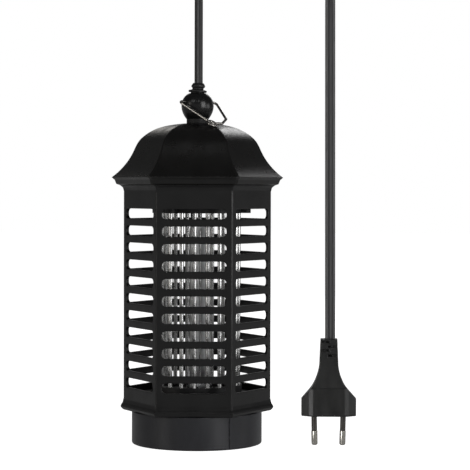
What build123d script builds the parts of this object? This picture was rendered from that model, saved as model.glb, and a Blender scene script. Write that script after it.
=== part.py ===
"""Hanging electric bug zapper.

A hexagonal slotted lantern with an ogee roof stands on a round twist-off tray.
Inside, a U-shaped ultraviolet lamp is ringed by a high-voltage wire grid.
A wire bail folds over the roof from the ball finial, and a flat cord leads to a two-pin plug.

Millimetres, +Z up.  The origin is the centre of the tray's underside and the front face looks to -Y.
"""

import os
from math import atan2, cos, degrees, radians, sin

from build123d import *

UP = Vector(0, 0, 1)

# ---------------------------------------------------------------- hexagonal plan
HEX_SIDES = 6
FACE_ANGLES = (30, 90, 150)
FACE_RATIO = cos(radians(30))
HEX_REACH = 70
HOUSING_R = 51.0
HOUSING_WALL = 1.8
HOUSING_INNER_R = HOUSING_R - HOUSING_WALL / FACE_RATIO
CORNER_FILLET = 1.5
LONG_EDGE = 100

# ---------------------------------------------------------------- heights of the stack
TRAY_TOP = 22.4
HOUSING_BOTTOM = 22.5
COLLAR_TOP = 31.5
TOP_PLATE_BOTTOM = 174.8
HOUSING_TOP = 177.8
RIM_TOP = 180.8
ROOF_TOP = 220.4
FINIAL_TOP = 241.0

# ---------------------------------------------------------------- tray
TRAY_R = 44.9
TRAY_FLOOR = 2.2
TRAY_CAVITY_R = 39.4
TRAY_NECK_R = 41.2
TRAY_NECK_TOP = 31.0
TRAY_EDGE = 1.2
SEAM_ANGLE = -59
SEAM_WIDTH = 0.9
SEAM_DEPTH = 0.6

# ---------------------------------------------------------------- bayonet between tray and housing
TWIST_CLEARANCE = 0.08
BAYONET_COUNT = 3
BAYONET_START = 5
BAYONET_TWIST = 20
LUG_ARC = 14
LUG_R = 42.4
LUG_HEIGHTS = (27.0, 28.6)
GROOVE_SLACK = 0.1
GROOVE_END_SLACK = 0.5
CUT_OVERLAP = 1.0

# ---------------------------------------------------------------- housing outline and slots
HOUSING_OUTLINE = (
    (50.9, HOUSING_BOTTOM), (51.9, 23.3), (53.0, 24.7), (52.6, 26.1), (51.6, 27.4), (51.0, 29.9),
    (HOUSING_R, 174.4), (51.5, 176.2), (53.5, HOUSING_TOP),
)
SLOT_ROWS = 11
SLOT_PITCH = 11.65
SLOT_HEIGHT = 6.84
SLOT_WIDTH = 43.0
SLOT_END_R = 2.8
SLOT_FIELD_MID = 100.13
TOP_OPENING_R = 29.0
RIM_R = 47.4
RIM_WALL = 1.8

# ---------------------------------------------------------------- roof
EAVE_OUTLINE = ((53.5, HOUSING_TOP), (55.9, 178.6), (56.3, 179.3), (57.1, 181.4), (59.2, 183.2))
OGEE_OUTLINE = (
    (59.2, 183.2), (53.9, 187.6), (50.1, 191.7), (47.0, 195.9), (44.6, 200.1), (42.7, 204.2),
    (40.2, 208.4), (35.8, 212.5), (29.9, 216.0), (20.0, 219.0), (9.0, ROOF_TOP),
)
ROOF_INSET = (2.4, 2.0)
ROOF_INNER_START = 2
ROOF_SWELL = 1.01

# ---------------------------------------------------------------- three long screws through the head
HEAD_SCREW_COUNT = 3
HEAD_SCREW_RING = 33.5
SCREW_R = 1.5
SCREW_HOLE_R = 1.55
SCREW_HEAD_R = 2.8
SCREW_HEAD_H = 2.0
HEAD_SCREW_TOP = 196.0
ROOF_BOSS_R = 3.4
DRIVER_SLOT_WIDTH = 0.7
DRIVER_SLOT_DEPTH = 0.8
DRIVER_SLOT_REACH = 1.2

# ---------------------------------------------------------------- top insulator
TOP_DISC_R = 31.0
TOP_DISC = (158.8, 163.0)
EAR_R = 3.4
HEAD_SCREW_RECESS = 2.1
HEAD_SCREW_SEAT = TOP_DISC[0] + HEAD_SCREW_RECESS
BOARD_POST_R = 2.6
BOARD_SCREW_R = 1.0
BOARD_SCREW_HEAD_R = 2.0
BOARD_SCREW_HEAD_H = 1.4
BOARD_SCREW_DEPTH = 5.0

# ---------------------------------------------------------------- wire grid
GRID_COUNT = 20
GRID_R = 28.5
GRID_PHASE = -73
GRID_WIRE_R = 1.5
GRID_HOLE_R = 1.55
GRID_BLIND = 2.0
GRID_RING_R = 0.8
GRID_RING_GAP = 36
GRID_WIRE_END = 0.3
LIVE_RING_Z = TOP_DISC[1] + GRID_RING_R
GRID_TAIL_TOP = 165.6
GRID_LEAD_Z = 168.0
GRID_LEAD_INSET = 0.45

# ---------------------------------------------------------------- bottom insulator
PLATE_CLEARANCE = 0.3
PLATE_R = HOUSING_INNER_R - PLATE_CLEARANCE
PLATE_TOP = 34.0
PLATE_RING = (24.6, 31.0)
PLATE_RING_TOP = 40.5
HUB_R = 13.0
HUB_TOP = 37.0
HUB_BOTTOM = 27.0
SPOKE_COUNT = 4
SPOKE_WIDTH = 5.0
SPOKE_START = 45
SPOKE_OVERLAP = 2.0
PLATE_SCREW_RING = 45.3
PLATE_SCREW_COUNT = 3
PLATE_SCREW_BOTTOM = 24.5
PLATE_SCREW_START = 60
NEUTRAL_RING_Z = COLLAR_TOP - GRID_RING_R

# ---------------------------------------------------------------- lamp, standing in its socket
LAMP_X = 1.9
LAMP_TURN = 48.0
LAMP_TUBE_R = 3.4
LAMP_TUBE_WALL = 0.7
LAMP_LEG_GAP = 11.0
LAMP_TOP = 154.5
LAMP_TUBE_BOTTOM = 39.2
LAMP_CAP = (HUB_TOP, 44.8)
LAMP_CAP_SIZE = (20.4, 10.4)
SOCKET_SIZE = (18.4, 9.4)
SOCKET_BOTTOM = 31.0
SOCKET_CORNER_R = 2.5
CAP_CORNER_R = 4.6
LAMP_PIN_R = 1.1
LAMP_PIN_GAP = 7.0
LAMP_PIN_HEIGHTS = (32.5, 38.8)
HUB_POCKET_R = 10.6

# ---------------------------------------------------------------- lead tube behind the lamp
LEAD_TUBE_X = -3.0
LEAD_TUBE_Y = 8.5
LEAD_TUBE_R = 2.1
LEAD_TUBE_BORE_R = 1.5
LEAD_TUBE_SEAT = 2.0
LEAD_TUBE_ENDS = (HUB_TOP - LEAD_TUBE_SEAT, TOP_DISC[0] + LEAD_TUBE_SEAT)
LEAD_R = 0.65
LEAD_GAP = 1.5
LEAD_BEND = 1.5
LEAD_LOW_Z = 28.8
SOCKET_LEAD_Y = -1.0

# ---------------------------------------------------------------- circuit board
BOARD_SIZE = (42.0, 32.0)
BOARD_BOTTOM = 170.0
BOARD_THICKNESS = 1.6
BOARD_TOP = BOARD_BOTTOM + BOARD_THICKNESS
BOARD_HOLE_GRID = (35.0, 25.0)
SMALL_SCREW_SLACK = 0.1
FILM_CAP_SIZE = (11.0, 5.0, 9.0)
FILM_CAP_CORNER = 0.8
FILM_CAP_PLACES = ((-9.0, 8.0), (-9.0, 1.0))
CAN_R = 4.0
CAN_HEIGHT = 12.0
CAN_PLACE = (10.5, 7.0)
DIODE_R = 1.4
DIODE_LENGTH = 5.2
DIODE_PLACES = ((-12.0, -5.5), (-12.0, -9.5), (0.5, -9.5), (0.5, 8.5))
RESISTOR_R = 1.2
RESISTOR_LENGTH = 7.0
RESISTOR_PLACES = ((9.0, -9.5), (9.0, -5.5))
COMPONENT_LEG_R = 0.35
COMPONENT_LEG_REACH = 0.7
CORD_CORE_X = 2.0

# ---------------------------------------------------------------- finial, its nut and the rubber bush
NECK_R = 7.5
NECK_TOP = 223.3
BALL_OUTLINE = ((NECK_R, NECK_TOP), (9.5, 226.3), (11.1, 232.0), (10.1, 236.9), (6.2, FINIAL_TOP))
STUD_R = 5.2
STUD_HOLE_R = 5.3
STUD_BOTTOM = 211.0
NUT_R = 9.0
NUT_HEIGHT = 5.0
ROOF_CEILING = 218.4
NUT_PAD_BOTTOM = 217.0
NUT_PAD_R = 10.0
BUSH_OUTLINE = (
    (5.5, FINIAL_TOP), (4.3, 242.8), (5.8, 242.9), (5.8, 244.1), (3.8, 244.6), (3.7, 246.2),
    (4.6, 246.6), (4.6, 247.6), (3.8, 249.0),
)

# ---------------------------------------------------------------- cord
CORD_SIZE = (6.2, 3.8)
CORD_CLEARANCE = 0.1
CORD_BORE = (CORD_SIZE[0] + 2 * CORD_CLEARANCE, CORD_SIZE[1] + 2 * CORD_CLEARANCE)
CORD_BEND = 50.0
CORD_CREST = 366.0
CORD_INNER_END = 198.0
CLAMP_HEIGHTS = (200.5, 205.0)
CLAMP_SIZE = (34.0, 9.0)
CLAMP_CORNER = 2.0
CLAMP_SCREW_GAP = 26.0
CLAMP_SCREW_R = 1.2
CLAMP_SCREW_TOP = 209.5
CLAMP_BOSS_R = 3.2
CORE_R = 0.9
CORE_GAP = 2.4
CORE_BEND = 5.0

# ---------------------------------------------------------------- plug
PLUG_X = 88.95
PLUG_Y = -81.0
PLUG_BOTTOM = 29.0
PLUG_TOP = 78.9
PLUG_HALF_WIDTH = 17.65
PLUG_SHOULDER = 40.4
PLUG_FLARE = (
    (PLUG_HALF_WIDTH, PLUG_SHOULDER), (14.2, 44.1), (10.7, 48.4), (8.4, 53.0), (6.9, 57.6), (6.1, 62.0),
)
RELIEF_HALF_WIDTH = 5.4
PLUG_SIDE = ((6.85, PLUG_BOTTOM), (6.85, 46.6), (6.1, 47.6), (5.8, 52.0), (4.9, 62.0), (4.5, PLUG_TOP))
PLUG_SECTION = ((PLUG_HALF_WIDTH, 2.4), (12.8, 5.9), (10.2, 6.85))
PLUG_EDGE = 0.8
RELIEF_GROOVES = ((-1, 77.1), (1, 74.0), (-1, 71.6), (1, 68.4))
GROOVE_HEIGHT = 1.4
GROOVE_DEPTH = 1.5
GROOVE_CUTTER = 8.0
GROOVE_SPAN = 1.3
PLUG_BORE_R = 3.3
PLUG_BORE_BOTTOM = 60.0
PIN_GAP = 18.7
PIN_LEAN = 1.2
PIN_LENGTH = 19.0
PIN_TIP_LENGTH = 9.2
PIN_R = 2.0
PIN_CORE_R = 1.4
PIN_SLEEVE_R = 1.8
PIN_ROOT = 7.0
PIN_TIP_FILLET = 1.2

# ---------------------------------------------------------------- bail
BAIL_AXIS_Z = 235.1
BAIL_AXIS_ANGLE = 42.6
BAIL_DROOP = 33.0
BAIL_WIRE_R = 0.9
BAIL_HOLE_R = 0.95
BAIL_HOLE_SLACK = 0.5
BAIL_REACH = 16.7
BAIL_PIVOT_INNER = 7.6
BAIL_EYE_CORNER = (-7.2, 28.3)
BAIL_FOOT_CORNER = (1.9, 28.3)
BAIL_FAR_CORNER = (10.2, 22.0)
BAIL_BEND = 2.2
BAIL_EYE_R = 3.0


def radial_plane(angle):
    """Return the upright plane through the Z axis whose X runs outward at the given angle."""
    outward = Vector(cos(radians(angle)), sin(radians(angle)), 0)
    return Plane(origin=(0, 0, 0), x_dir=outward, z_dir=outward.cross(UP))


def outline_face(plane, straight, curved, ratio, both_sides):
    """Return the face inside an outline of straight points, then curved ones, closed on the Z axis."""
    straight = [(r * ratio, z) for r, z in straight]
    curved = [(r * ratio, z) for r, z in curved]
    end = curved[-1] if curved else straight[-1]
    with BuildSketch(plane) as section:
        with BuildLine():
            Polyline((0, straight[0][1]), *straight)
            if curved:
                Spline(*curved)
            Polyline(end, (0, end[1]), (0, straight[0][1]))
        make_face()
        if both_sides:
            mirror(about=Plane.YZ)
    return section.sketch


def add_hex_body(straight, curved=(), swell=1.0):
    """Fill the active part with the hexagonal body that has the given outline at its corners.

    A swell above one pushes the faces out by that ratio and rounds the corners back to the outline.
    """
    for index, angle in enumerate(FACE_ANGLES):
        section = outline_face(radial_plane(angle), straight, curved, FACE_RATIO * swell, both_sides=True)
        extrude(section, amount=HEX_REACH, both=True, mode=Mode.INTERSECT if index else Mode.ADD)
    if swell > 1:
        section = outline_face(Plane.XZ, straight, curved, 1.0, both_sides=False)
        revolve(section, axis=Axis.Z, mode=Mode.INTERSECT)


def add_ring_sector(start, arc, radii, heights, mode=Mode.ADD):
    """Add or cut the part of a square-section ring that spans an arc from the start angle."""
    with BuildSketch(radial_plane(start)) as section:
        with Locations(((radii[0] + radii[1]) / 2, (heights[0] + heights[1]) / 2)):
            Rectangle(radii[1] - radii[0], heights[1] - heights[0])
    revolve(section.sketch, axis=Axis.Z, revolution_arc=arc, mode=mode)


def add_turned(outline):
    """Add the round body whose outline is given as radius and height."""
    with BuildSketch(Plane.XZ) as section:
        with BuildLine():
            Polyline((0, outline[0][1]), *outline, (0, outline[-1][1]), close=True)
        make_face()
    revolve(section.sketch, axis=Axis.Z)


def add_column(x, y, bottom, top, radius, mode=Mode.ADD):
    """Add or cut an upright cylinder between two heights."""
    with BuildSketch(Plane.XY.offset(bottom)) as section:
        with Locations((x, y)):
            Circle(radius)
    extrude(section.sketch, amount=top - bottom, mode=mode)


def add_block(x, y, bottom, size, turn=0.0, corner=0.0, mode=Mode.ADD):
    """Add or cut an upright block, centred in plan, with rounded corners where asked."""
    with BuildSketch(Plane.XY.offset(bottom)) as section:
        with Locations(Location((x, y), turn)):
            if corner:
                RectangleRounded(size[0], size[1], corner)
            else:
                Rectangle(size[0], size[1])
    extrude(section.sketch, amount=size[2], mode=mode)


def add_wire(points, radius, bend):
    """Add a round wire along the points, bent at each one."""
    with BuildLine() as path:
        FilletPolyline(*points, radius=bend)
    with BuildSketch(Plane(origin=path.line @ 0, z_dir=path.line % 0)) as section:
        Circle(radius)
    sweep(section.sketch, path=path.line)


def cut_driver_slot(x, y, face, head_radius, downward):
    """Cut a cross recess into a screw head whose outer face lies at the given height."""
    bottom = face if downward else face - DRIVER_SLOT_DEPTH
    reach = head_radius * DRIVER_SLOT_REACH
    for turn in (0, 90):
        add_block(x, y, bottom, (reach, DRIVER_SLOT_WIDTH, DRIVER_SLOT_DEPTH), turn, mode=Mode.SUBTRACT)


def ring_places(radius, count, start=0.0):
    """Return evenly spaced points on a circle round the Z axis."""
    angles = [start + 360 / count * index for index in range(count)]
    return [(radius * cos(radians(angle)), radius * sin(radians(angle))) for angle in angles]


HEAD_SCREW_PLACES = ring_places(HEAD_SCREW_RING, HEAD_SCREW_COUNT)
PLATE_SCREW_PLACES = ring_places(PLATE_SCREW_RING, PLATE_SCREW_COUNT, PLATE_SCREW_START)
GRID_PLACES = ring_places(GRID_R, GRID_COUNT, GRID_PHASE)
LIVE_TAIL_PLACE, NEUTRAL_TAIL_PLACE = GRID_PLACES[:2]
BOARD_PLACES = [(x * BOARD_HOLE_GRID[0] / 2, y * BOARD_HOLE_GRID[1] / 2) for x in (-1, 1) for y in (-1, 1)]
LAMP_ALONG = Vector(cos(radians(LAMP_TURN)), sin(radians(LAMP_TURN)), 0)
LAMP_CENTRE = Vector(LAMP_X, 0, 0)
CORD_HEADING = Vector(PLUG_X, PLUG_Y, 0).normalized()
CORD_TURN = degrees(atan2(CORD_HEADING.Y, CORD_HEADING.X)) + 90
CORD_BROAD = Vector(cos(radians(CORD_TURN)), sin(radians(CORD_TURN)), 0)
PLUG_FRONT = Plane(origin=(PLUG_X, PLUG_Y, 0), x_dir=(1, 0, 0), z_dir=(0, -1, 0))
PLUG_END = Plane(origin=(PLUG_X, PLUG_Y, 0), x_dir=(0, 1, 0), z_dir=(1, 0, 0))
BAIL_AXIS = Vector(cos(radians(BAIL_AXIS_ANGLE)), sin(radians(BAIL_AXIS_ANGLE)), 0)
BAIL_FOLD = BAIL_AXIS.cross(UP) * cos(radians(BAIL_DROOP)) - UP * sin(radians(BAIL_DROOP))
BAIL_PLANE = Plane(origin=(0, 0, BAIL_AXIS_Z), x_dir=BAIL_AXIS, z_dir=BAIL_AXIS.cross(BAIL_FOLD))


def cut_cord_bore(bottom, top):
    """Cut the flat cord's clearance bore between two heights on the lantern's axis."""
    with BuildSketch(Plane.XY.offset(bottom)) as section:
        SlotOverall(*CORD_BORE, rotation=CORD_TURN)
    extrude(section.sketch, amount=top - bottom, mode=Mode.SUBTRACT)


# ================================================================ tray
with BuildPart() as tray:
    add_column(0, 0, 0, TRAY_TOP, TRAY_R)
    fillet(tray.faces().sort_by(Axis.Z)[0].edges(), radius=TRAY_EDGE)
    add_column(0, 0, TRAY_TOP, TRAY_NECK_TOP, TRAY_NECK_R)
    add_column(0, 0, TRAY_FLOOR, TRAY_NECK_TOP, TRAY_CAVITY_R, mode=Mode.SUBTRACT)
    for index in range(BAYONET_COUNT):
        start = BAYONET_START + index * 360 / BAYONET_COUNT
        add_ring_sector(start, LUG_ARC, (TRAY_CAVITY_R + CUT_OVERLAP, LUG_R), LUG_HEIGHTS)
    add_ring_sector(
        SEAM_ANGLE, degrees(SEAM_WIDTH / TRAY_R), (TRAY_R - SEAM_DEPTH, TRAY_R + CUT_OVERLAP),
        (0, TRAY_TOP), mode=Mode.SUBTRACT,
    )

# ================================================================ housing
with BuildPart() as housing:
    add_hex_body(HOUSING_OUTLINE)
    long_edges = housing.edges().filter_by(Axis.Z).filter_by(lambda edge: edge.length > LONG_EDGE)
    fillet(long_edges, radius=CORNER_FILLET)
    with BuildSketch(Plane.XY.offset(COLLAR_TOP)):
        RegularPolygon(HOUSING_INNER_R, HEX_SIDES)
    extrude(amount=TOP_PLATE_BOTTOM - COLLAR_TOP, mode=Mode.SUBTRACT)
    with BuildSketch(Plane.XY.offset(HOUSING_TOP)):
        RegularPolygon(RIM_R, HEX_SIDES)
        RegularPolygon(RIM_R - RIM_WALL, HEX_SIDES, mode=Mode.SUBTRACT)
    extrude(amount=RIM_TOP - HOUSING_TOP)
    add_column(0, 0, TOP_PLATE_BOTTOM, HOUSING_TOP, TOP_OPENING_R, mode=Mode.SUBTRACT)
    for x, y in HEAD_SCREW_PLACES:
        add_column(x, y, TOP_PLATE_BOTTOM, HOUSING_TOP, SCREW_HOLE_R, mode=Mode.SUBTRACT)
    add_column(0, 0, HOUSING_BOTTOM, COLLAR_TOP, TRAY_NECK_R + TWIST_CLEARANCE, mode=Mode.SUBTRACT)
    for x, y in PLATE_SCREW_PLACES:
        add_column(x, y, PLATE_SCREW_BOTTOM, COLLAR_TOP, SCREW_HOLE_R, mode=Mode.SUBTRACT)
    groove_radii = (TRAY_NECK_R - CUT_OVERLAP, LUG_R + GROOVE_SLACK)
    for index in range(BAYONET_COUNT):
        start = BAYONET_START + index * 360 / BAYONET_COUNT - GROOVE_END_SLACK
        entry_arc = LUG_ARC + 2 * GROOVE_END_SLACK
        add_ring_sector(
            start, entry_arc + BAYONET_TWIST, groove_radii,
            (LUG_HEIGHTS[0] - GROOVE_SLACK, LUG_HEIGHTS[1] + GROOVE_SLACK), mode=Mode.SUBTRACT,
        )
        add_ring_sector(
            start + BAYONET_TWIST, entry_arc, groove_radii,
            (HOUSING_BOTTOM, LUG_HEIGHTS[0]), mode=Mode.SUBTRACT,
        )
    for angle in FACE_ANGLES:
        facing = Vector(cos(radians(angle)), sin(radians(angle)), 0)
        with BuildSketch(Plane(origin=(0, 0, SLOT_FIELD_MID), x_dir=UP.cross(facing), z_dir=facing)):
            with GridLocations(0, SLOT_PITCH, 1, SLOT_ROWS):
                RectangleRounded(SLOT_WIDTH, SLOT_HEIGHT, SLOT_END_R)
        extrude(amount=HEX_REACH, both=True, mode=Mode.SUBTRACT)

# ================================================================ roof
with BuildPart() as roof_core:
    inner_ogee = [(r - ROOF_INSET[0], z - ROOF_INSET[1]) for r, z in OGEE_OUTLINE[ROOF_INNER_START:]]
    add_hex_body(((inner_ogee[0][0], HOUSING_TOP), inner_ogee[0]), inner_ogee)

with BuildPart() as roof:
    add_hex_body(EAVE_OUTLINE, OGEE_OUTLINE, swell=ROOF_SWELL)
    shell_outside = roof.part
    add(roof_core.part, mode=Mode.SUBTRACT)
    for x, y in HEAD_SCREW_PLACES:
        add_column(x, y, HOUSING_TOP, ROOF_CEILING, ROOF_BOSS_R)
    for side in (-1, 1):
        spot = CORD_BROAD * (side * CLAMP_SCREW_GAP / 2)
        add_column(spot.X, spot.Y, CLAMP_HEIGHTS[1], ROOF_CEILING, CLAMP_BOSS_R)
        add_column(spot.X, spot.Y, CLAMP_HEIGHTS[1], CLAMP_SCREW_TOP, CLAMP_SCREW_R, mode=Mode.SUBTRACT)
    add_column(0, 0, NUT_PAD_BOTTOM, ROOF_CEILING, NUT_PAD_R)
    add(shell_outside, mode=Mode.INTERSECT)
    for x, y in HEAD_SCREW_PLACES:
        add_column(x, y, HOUSING_TOP, HEAD_SCREW_TOP, SCREW_R, mode=Mode.SUBTRACT)
    add_column(0, 0, NUT_PAD_BOTTOM, ROOF_TOP, STUD_HOLE_R, mode=Mode.SUBTRACT)

# ================================================================ head screws
with BuildPart() as head_screws:
    for x, y in HEAD_SCREW_PLACES:
        add_column(x, y, HEAD_SCREW_SEAT - SCREW_HEAD_H, HEAD_SCREW_SEAT, SCREW_HEAD_R)
        add_column(x, y, HEAD_SCREW_SEAT, HEAD_SCREW_TOP, SCREW_R)
        cut_driver_slot(x, y, HEAD_SCREW_SEAT - SCREW_HEAD_H, SCREW_HEAD_R, downward=True)

# ================================================================ finial, nut and bush
with BuildPart() as finial:
    with BuildSketch(Plane.XZ):
        with BuildLine():
            Polyline((0, ROOF_TOP), (NECK_R, ROOF_TOP), (NECK_R, NECK_TOP))
            Spline(*BALL_OUTLINE)
            Polyline(BALL_OUTLINE[-1], (0, FINIAL_TOP), (0, ROOF_TOP))
        make_face()
    revolve(axis=Axis.Z)
    add_column(0, 0, STUD_BOTTOM, ROOF_TOP, STUD_R)
    cut_cord_bore(STUD_BOTTOM, FINIAL_TOP)
    for side in (-1, 1):
        mouth = Vector(0, 0, BAIL_AXIS_Z) + BAIL_AXIS * (side * BAIL_REACH)
        with BuildSketch(Plane(origin=mouth, z_dir=BAIL_AXIS * -side)):
            Circle(BAIL_HOLE_R)
        extrude(amount=BAIL_REACH - BAIL_PIVOT_INNER + BAIL_HOLE_SLACK, mode=Mode.SUBTRACT)

with BuildPart() as finial_nut:
    with BuildSketch(Plane.XY.offset(NUT_PAD_BOTTOM - NUT_HEIGHT)):
        RegularPolygon(NUT_R, HEX_SIDES)
        Circle(STUD_R, mode=Mode.SUBTRACT)
    extrude(amount=NUT_HEIGHT)

with BuildPart() as cord_bush:
    add_turned(BUSH_OUTLINE)
    cut_cord_bore(FINIAL_TOP, BUSH_OUTLINE[-1][1])

# ================================================================ top insulator
with BuildPart() as top_insulator:
    add_column(0, 0, *TOP_DISC, TOP_DISC_R)
    for angle in range(0, 360, 360 // HEAD_SCREW_COUNT):
        with BuildSketch(Plane.XY.offset(TOP_DISC[0])):
            with Locations(Location((0, 0), angle)):
                SlotCenterPoint((HEAD_SCREW_RING / 2, 0), (HEAD_SCREW_RING, 0), 2 * EAR_R)
        extrude(amount=TOP_DISC[1] - TOP_DISC[0])
    for x, y in HEAD_SCREW_PLACES:
        add_column(x, y, TOP_DISC[1], TOP_PLATE_BOTTOM, EAR_R)
        add_column(x, y, TOP_DISC[0], TOP_PLATE_BOTTOM, SCREW_HOLE_R, mode=Mode.SUBTRACT)
        add_column(x, y, TOP_DISC[0], HEAD_SCREW_SEAT, SCREW_HEAD_R, mode=Mode.SUBTRACT)
    for x, y in BOARD_PLACES:
        add_column(x, y, TOP_DISC[1], BOARD_BOTTOM, BOARD_POST_R)
        add_column(x, y, BOARD_BOTTOM - BOARD_SCREW_DEPTH, BOARD_BOTTOM, BOARD_SCREW_R, mode=Mode.SUBTRACT)
    for index, (x, y) in enumerate(GRID_PLACES):
        top = TOP_DISC[0] + GRID_BLIND if index % 2 else TOP_DISC[1]
        add_column(x, y, TOP_DISC[0], top, GRID_HOLE_R, mode=Mode.SUBTRACT)
    add_column(*NEUTRAL_TAIL_PLACE, *TOP_DISC, GRID_HOLE_R, mode=Mode.SUBTRACT)
    add_column(LEAD_TUBE_X, LEAD_TUBE_Y, *TOP_DISC, LEAD_TUBE_BORE_R, mode=Mode.SUBTRACT)
    add_column(LEAD_TUBE_X, LEAD_TUBE_Y, TOP_DISC[0], LEAD_TUBE_ENDS[1], LEAD_TUBE_R, mode=Mode.SUBTRACT)

# ================================================================ bottom insulator
with BuildPart() as bottom_insulator:
    with BuildSketch(Plane.XY.offset(COLLAR_TOP)):
        RegularPolygon(PLATE_R, HEX_SIDES)
        Circle(PLATE_RING[0], mode=Mode.SUBTRACT)
    extrude(amount=PLATE_TOP - COLLAR_TOP)
    with BuildSketch(Plane.XY.offset(COLLAR_TOP)):
        Circle(PLATE_RING[1])
        Circle(PLATE_RING[0], mode=Mode.SUBTRACT)
    extrude(amount=PLATE_RING_TOP - COLLAR_TOP)
    with BuildSketch(Plane.XY.offset(COLLAR_TOP)):
        for angle in range(SPOKE_START, 360, 360 // SPOKE_COUNT):
            with Locations(Location((0, 0), angle)):
                with Locations((PLATE_RING[0] / 2, 0)):
                    Rectangle(PLATE_RING[0] + SPOKE_OVERLAP, SPOKE_WIDTH)
    extrude(amount=HUB_TOP - COLLAR_TOP)
    add_column(0, 0, HUB_BOTTOM, HUB_TOP, HUB_R)
    add_column(LAMP_X, 0, HUB_BOTTOM, SOCKET_BOTTOM, HUB_POCKET_R, mode=Mode.SUBTRACT)
    add_block(
        LAMP_X, 0, SOCKET_BOTTOM, (*SOCKET_SIZE, HUB_TOP - SOCKET_BOTTOM), LAMP_TURN,
        SOCKET_CORNER_R, mode=Mode.SUBTRACT,
    )
    add_column(LEAD_TUBE_X, LEAD_TUBE_Y, LEAD_TUBE_ENDS[0], HUB_TOP, LEAD_TUBE_R, mode=Mode.SUBTRACT)
    add_column(LEAD_TUBE_X, LEAD_TUBE_Y, HUB_BOTTOM, HUB_TOP, LEAD_TUBE_BORE_R, mode=Mode.SUBTRACT)
    for x, y in PLATE_SCREW_PLACES:
        add_column(x, y, COLLAR_TOP, PLATE_TOP, SCREW_HOLE_R, mode=Mode.SUBTRACT)
    for index, (x, y) in enumerate(GRID_PLACES):
        bottom = COLLAR_TOP if index % 2 else PLATE_RING_TOP - 2 * GRID_BLIND
        add_column(x, y, bottom, PLATE_RING_TOP, GRID_HOLE_R, mode=Mode.SUBTRACT)

with BuildPart() as plate_screws:
    for x, y in PLATE_SCREW_PLACES:
        add_column(x, y, PLATE_TOP, PLATE_TOP + SCREW_HEAD_H, SCREW_HEAD_R)
        add_column(x, y, PLATE_SCREW_BOTTOM, PLATE_TOP, SCREW_R)
        cut_driver_slot(x, y, PLATE_TOP + SCREW_HEAD_H, SCREW_HEAD_R, downward=False)

# ================================================================ wire grid
with BuildPart() as grid_live:
    for x, y in GRID_PLACES[::2]:
        top = LIVE_RING_Z + GRID_RING_R + GRID_WIRE_END
        add_column(x, y, PLATE_RING_TOP - 2 * GRID_BLIND, top, GRID_WIRE_R)
    add_column(*LIVE_TAIL_PLACE, LIVE_RING_Z, GRID_TAIL_TOP, GRID_WIRE_R)
    with Locations(Location((0, 0, LIVE_RING_Z), (0, 0, GRID_PHASE + GRID_RING_GAP))):
        Torus(GRID_R, GRID_RING_R, major_angle=360 - GRID_RING_GAP)

with BuildPart() as grid_neutral:
    for x, y in GRID_PLACES[1::2]:
        bottom = NEUTRAL_RING_Z - GRID_RING_R - GRID_WIRE_END
        add_column(x, y, bottom, TOP_DISC[0] + GRID_BLIND, GRID_WIRE_R)
    add_column(*NEUTRAL_TAIL_PLACE, TOP_DISC[0], GRID_TAIL_TOP, GRID_WIRE_R)
    with Locations((0, 0, NEUTRAL_RING_Z)):
        Torus(GRID_R, GRID_RING_R)

# ================================================================ lamp, its socket and feed
with BuildPart() as lamp_tube:
    legs = [LAMP_CENTRE + LAMP_ALONG * (side * LAMP_LEG_GAP / 2) for side in (-1, 1)]
    bend_height = LAMP_TOP - LAMP_TUBE_R - LAMP_LEG_GAP / 2
    with BuildLine() as lamp_path:
        Line(legs[0] + UP * LAMP_TUBE_BOTTOM, legs[0] + UP * bend_height)
        ThreePointArc(
            legs[0] + UP * bend_height,
            LAMP_CENTRE + UP * (bend_height + LAMP_LEG_GAP / 2),
            legs[1] + UP * bend_height,
        )
        Line(legs[1] + UP * bend_height, legs[1] + UP * LAMP_TUBE_BOTTOM)
    with BuildSketch(Plane(origin=lamp_path.line @ 0, z_dir=UP)):
        Circle(LAMP_TUBE_R)
        Circle(LAMP_TUBE_R - LAMP_TUBE_WALL, mode=Mode.SUBTRACT)
    sweep(path=lamp_path.line)

with BuildPart() as lamp_cap:
    add_block(
        LAMP_X, 0, LAMP_CAP[0], (*LAMP_CAP_SIZE, LAMP_CAP[1] - LAMP_CAP[0]), LAMP_TURN, CAP_CORNER_R,
    )
    for leg in legs:
        add_column(leg.X, leg.Y, LAMP_TUBE_BOTTOM, LAMP_CAP[1], LAMP_TUBE_R, mode=Mode.SUBTRACT)
    for side in (-1, 1):
        pin = LAMP_CENTRE + LAMP_ALONG * (side * LAMP_PIN_GAP / 2)
        add_column(pin.X, pin.Y, LAMP_CAP[0], LAMP_PIN_HEIGHTS[1], LAMP_PIN_R, mode=Mode.SUBTRACT)

with BuildPart() as lamp_pins:
    for side in (-1, 1):
        pin = LAMP_CENTRE + LAMP_ALONG * (side * LAMP_PIN_GAP / 2)
        add_column(pin.X, pin.Y, *LAMP_PIN_HEIGHTS, LAMP_PIN_R)

with BuildPart() as lamp_socket:
    add_block(
        LAMP_X, 0, SOCKET_BOTTOM, (*SOCKET_SIZE, LAMP_CAP[0] - SOCKET_BOTTOM), LAMP_TURN,
        SOCKET_CORNER_R,
    )
    for side in (-1, 1):
        pin = LAMP_CENTRE + LAMP_ALONG * (side * LAMP_PIN_GAP / 2)
        add_column(pin.X, pin.Y, LAMP_PIN_HEIGHTS[0], LAMP_CAP[0], LAMP_PIN_R, mode=Mode.SUBTRACT)

with BuildPart() as lead_tube:
    add_column(LEAD_TUBE_X, LEAD_TUBE_Y, *LEAD_TUBE_ENDS, LEAD_TUBE_R)
    add_column(LEAD_TUBE_X, LEAD_TUBE_Y, *LEAD_TUBE_ENDS, LEAD_TUBE_BORE_R, mode=Mode.SUBTRACT)

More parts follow.
